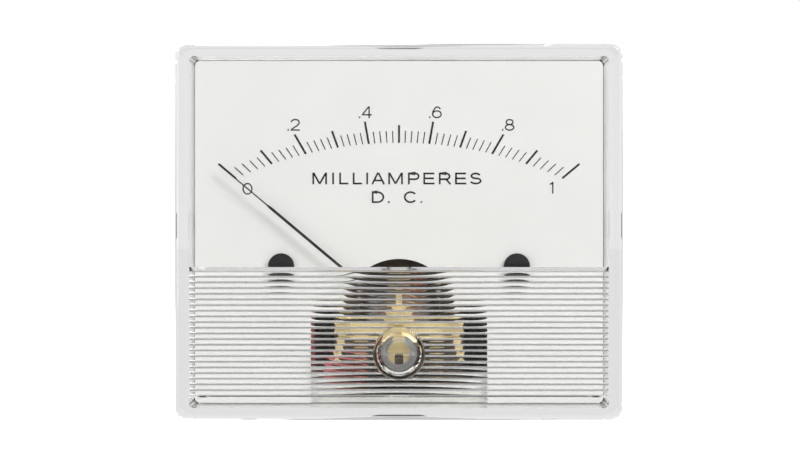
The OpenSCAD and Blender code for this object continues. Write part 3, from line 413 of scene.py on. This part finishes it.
lip = STEP + RISE
flute_r = (RISE ** 2 + (PITCH / 2) ** 2) / (2 * RISE)
swing = math.degrees(math.asin(PITCH / 2 / flute_r))
outline = [(FLUTE_TOP, window + OVERLAP), (FLUTE_TOP, window), (FLUTE_TOP - lip, window - lip)]
for k in range(FLUTES):
    middle = FLUTE_TOP - lip - (k + 0.5) * PITCH
    outline += [(middle - flute_r * math.sin(a), window - STEP - (flute_r * math.cos(a) - flute_r + RISE))
                for a in arc_points(20, -swing, swing)[bool(k):]]
outline += [(outline[-1][0] - STEP, window), (outline[-1][0] - STEP, window + OVERLAP)]
pad = [[(x, depth, z) for z, depth in outline] for x in (-inner_w / 2 - OVERLAP, inner_w / 2 + OVERLAP)]

bead = (COLLAR - DISH) / 2
foot = 0.02
boss = [(COLLAR, window - BOSS), (COLLAR, face - COLLAR_FOOT)]
boss += [(DISH + bead + bead * math.cos(a), face + foot + (COLLAR_LIFT - foot) * math.sin(a))
         for a in arc_points(12, 0, 90)]
dish = [(BORE, face - DISH_DEPTH), (DISH_FLOOR_R, face - DISH_DEPTH)]
dish += [(DISH + bead - bead * math.cos(a), face + COLLAR_LIFT * math.sin(a))
         for a in arc_points(10, -20, 90)]
dish += [(DISH + bead, face + 1)]
pockets = []
for side in (-1, 1):
    ends = sorted((side * (inner_w / 2 - OVERLAP), side * (inner_w / 2 + SNAP_REACH)))
    pockets.append(("DIFFERENCE", block(*ends, SNAP_LOW, SNAP_HIGH,
                                        SNAP_LIFT - SNAP_H / 2, SNAP_LIFT + SNAP_H / 2)))
cover = combine("cover_moulding", "clear_cover", loft(shell),
                ("DIFFERENCE", loft(inside)), ("UNION", loft(pad)),
                ("UNION", lathe(boss, knob_x, knob_z)), ("DIFFERENCE", lathe(dish, knob_x, knob_z)),
                ("DIFFERENCE", lathe([(BORE, window - BOSS - 1), (BORE, face)], knob_x, knob_z)), *pockets)
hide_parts("front_cover")
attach(cover, "meter")

head_back = face - DISH_DEPTH + PLAY
dome_r = (KNOB ** 2 + DOME ** 2) / (2 * DOME)
lens = [(dome_r * math.sin(a), head_back + KNOB_T - dome_r + dome_r * math.cos(a))
        for a in arc_points(24, math.degrees(math.asin(KNOB / dome_r)), 0.1)]
clip_low, clip_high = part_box("adjuster_clip")
groove_back, groove_front = -clip_high.y / MM - PLAY, -clip_low.y / MM + PLAY
stem_back = -clip_high.y / MM - STEM_TAIL
turned = [(STEM_R, stem_back), (STEM_R, groove_back), (GROOVE_R, groove_back), (GROOVE_R, groove_front),
          (STEM_R, groove_front), (STEM_R, head_back), (KNOB, head_back)] + lens
pin_back = -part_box("zero_adjuster")[1].y / MM
slot_top, slot_floor = head_back + KNOB_T + 1, head_back + KNOB_T - SLOT_DEPTH + SLOT / 2
groove = [(-SLOT / 2, slot_top)] + [(-SLOT / 2 * math.cos(a), slot_floor - SLOT / 2 * math.sin(a))
                                    for a in arc_points(10, 0, 180)] + [(SLOT / 2, slot_top)]
knob_piece = combine("adjuster_knob", "clear_knob", lathe(turned, knob_x, knob_z),
                     ("UNION", lathe([(PIN, pin_back), (PIN, stem_back + 0.1)], knob_x, knob_z - THROW, 32)),
                     ("DIFFERENCE", loft([[(x, depth, knob_z + z) for z, depth in groove]
                                          for x in (-KNOB - 1, KNOB + 1)])))
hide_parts("zero_adjuster")
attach(knob_piece, "adjuster")


# ---------------------------------------------------------------- stage

def studio_sky(world):
    """White behind the part, and a soft room for its clear and shiny pieces.

    The room is bright at the sides of the viewer, dark where the viewer stands, and greyer across the part.
    """
    world.use_nodes = True
    tree = world.node_tree
    tree.nodes.clear()
    new, link = tree.nodes.new, tree.links.new
    direction = new("ShaderNodeSeparateXYZ")
    link(new("ShaderNodeTexCoord").outputs["Generated"], direction.inputs[0])
    place = new("ShaderNodeMapRange")
    place.inputs["From Min"].default_value = -1
    link(direction.outputs["Y"], place.inputs["Value"])
    room = new("ShaderNodeValToRGB")
    stops = room.color_ramp.elements
    # Places run from the viewer's side, 0, to behind the part, 1
    tones = ((0.0, 0.02), (0.022, 0.02), (0.05, 0.95), (0.35, 1.0),
             (0.5, 0.9), (0.72, 0.55), (0.86, 0.8), (1.0, 0.85))
    while len(stops) < len(tones):
        stops.new(0.5)
    for stop, (position, tone) in zip(stops, tones):
        stop.position, stop.color = position, rgb(tone, tone, tone)
    link(place.outputs[0], room.inputs[0])
    path = new("ShaderNodeLightPath")
    parts = {}
    for name, strength in (("soft", 0.55), ("room", 1.0), ("white", 1.0)):
        parts[name] = new("ShaderNodeBackground")
        parts[name].inputs["Color"].default_value = rgb(1, 1, 1)
        parts[name].inputs["Strength"].default_value = strength
    link(room.outputs[0], parts["room"].inputs["Color"])
    through = new("ShaderNodeMath")
    through.operation = "MAXIMUM"
    link(path.outputs["Is Glossy Ray"], through.inputs[0])
    link(path.outputs["Is Transmission Ray"], through.inputs[1])
    seen = new("ShaderNodeMixShader")
    link(through.outputs[0], seen.inputs[0])
    link(parts["soft"].outputs[0], seen.inputs[1])
    link(parts["room"].outputs[0], seen.inputs[2])
    final = new("ShaderNodeMixShader")
    link(path.outputs["Is Camera Ray"], final.inputs[0])
    link(seen.outputs[0], final.inputs[1])
    link(parts["white"].outputs[0], final.inputs[2])
    link(final.outputs[0], new("ShaderNodeOutputWorld").inputs["Surface"])


FLOOR_DROP = 38
FLOOR_GLOW = 0.8


def lamp(name, place, size, power):
    """A square lamp that points at the part's middle, with its place and size in metres."""
    light = bpy.data.lights.new(name, "AREA")
    light.shape = "SQUARE"
    light.size = size
    light.energy = power
    thing = bpy.data.objects.new(name, light)
    bpy.context.scene.collection.objects.link(thing)
    thing.location = place
    thing.rotation_euler = (-Vector(place)).to_track_quat("-Z", "Y").to_euler()


def floor():
    """A plain pale floor, FLOOR_DROP below the cover."""
    mesh = bpy.data.meshes.new("floor")
    half, z = 6.0, cover_low.z - FLOOR_DROP * MM
    corners = [(-half, -half, z), (half, -half, z), (half, half, z), (-half, half, z)]
    mesh.from_pydata(corners, [], [(0, 1, 2, 3)])
    piece = bpy.data.objects.new("floor", mesh)
    bpy.context.scene.collection.objects.link(piece)
    t = Tree("floor")
    # Clear and shiny pieces see a white floor, but for the dark place where the viewer stands
    diffuse = t.add("ShaderNodeBsdfDiffuse", Color=rgb(0.5, 0.5, 0.5))
    white = t.add("ShaderNodeEmission", Color=rgb(1, 1, 1), Strength=FLOOR_GLOW)
    path = t.add("ShaderNodeLightPath")
    split = t.add("ShaderNodeSeparateXYZ", Vector=t.place)
    ahead = t.ramp(split.outputs["Y"], -0.32, -0.18)
    across, along = (t.math("ABSOLUTE", split.outputs[axis]) for axis in ("X", "Y"))
    aside = t.ramp(t.math("DIVIDE", across, along), 0.3, 0.5)
    room = t.add("ShaderNodeEmission", Color=rgb(1, 1, 1))
    t.set(room.inputs["Strength"], t.math("MULTIPLY", t.math("MAXIMUM", ahead, aside), FLOOR_GLOW))
    lit = t.add("ShaderNodeAddShader")
    seen = t.add("ShaderNodeMixShader", Fac=path.outputs["Is Camera Ray"])
    final = t.add("ShaderNodeMixShader",
                  Fac=t.math("MAXIMUM", path.outputs["Is Glossy Ray"], path.outputs["Is Transmission Ray"]))
    t.tree.links.new(diffuse.outputs[0], lit.inputs[0])
    t.tree.links.new(white.outputs[0], lit.inputs[1])
    t.tree.links.new(diffuse.outputs[0], seen.inputs[1])
    t.tree.links.new(lit.outputs[0], seen.inputs[2])
    t.tree.links.new(seen.outputs[0], final.inputs[1])
    t.tree.links.new(room.outputs[0], final.inputs[2])
    t.tree.links.new(final.outputs[0], t.output.inputs["Surface"])
    mesh.materials.append(t.material)


world = bpy.data.worlds.new("world")
bpy.context.scene.world = world
studio_sky(world)
floor()
lamp("key", (0.75, -0.85, 0.85), 0.55, 14)
lamp("fill", (-0.9, -0.9, 0.3), 0.9, 5)
lamp("back", (-0.4, 1.0, 0.7), 0.8, 8)

# The viewer stands square in front of the dial, in metres
EYE = (0.0002, -0.353, 0.0007)
camera = bpy.data.cameras.new("camera")
camera.lens = 76.5
camera.sensor_width = 36
view = bpy.data.objects.new("camera", camera)
bpy.context.scene.collection.objects.link(view)
view.location = EYE
view.rotation_euler = (math.pi / 2, 0, 0)
bpy.context.scene.camera = view

bpy.context.scene.view_settings.view_transform = "Standard"
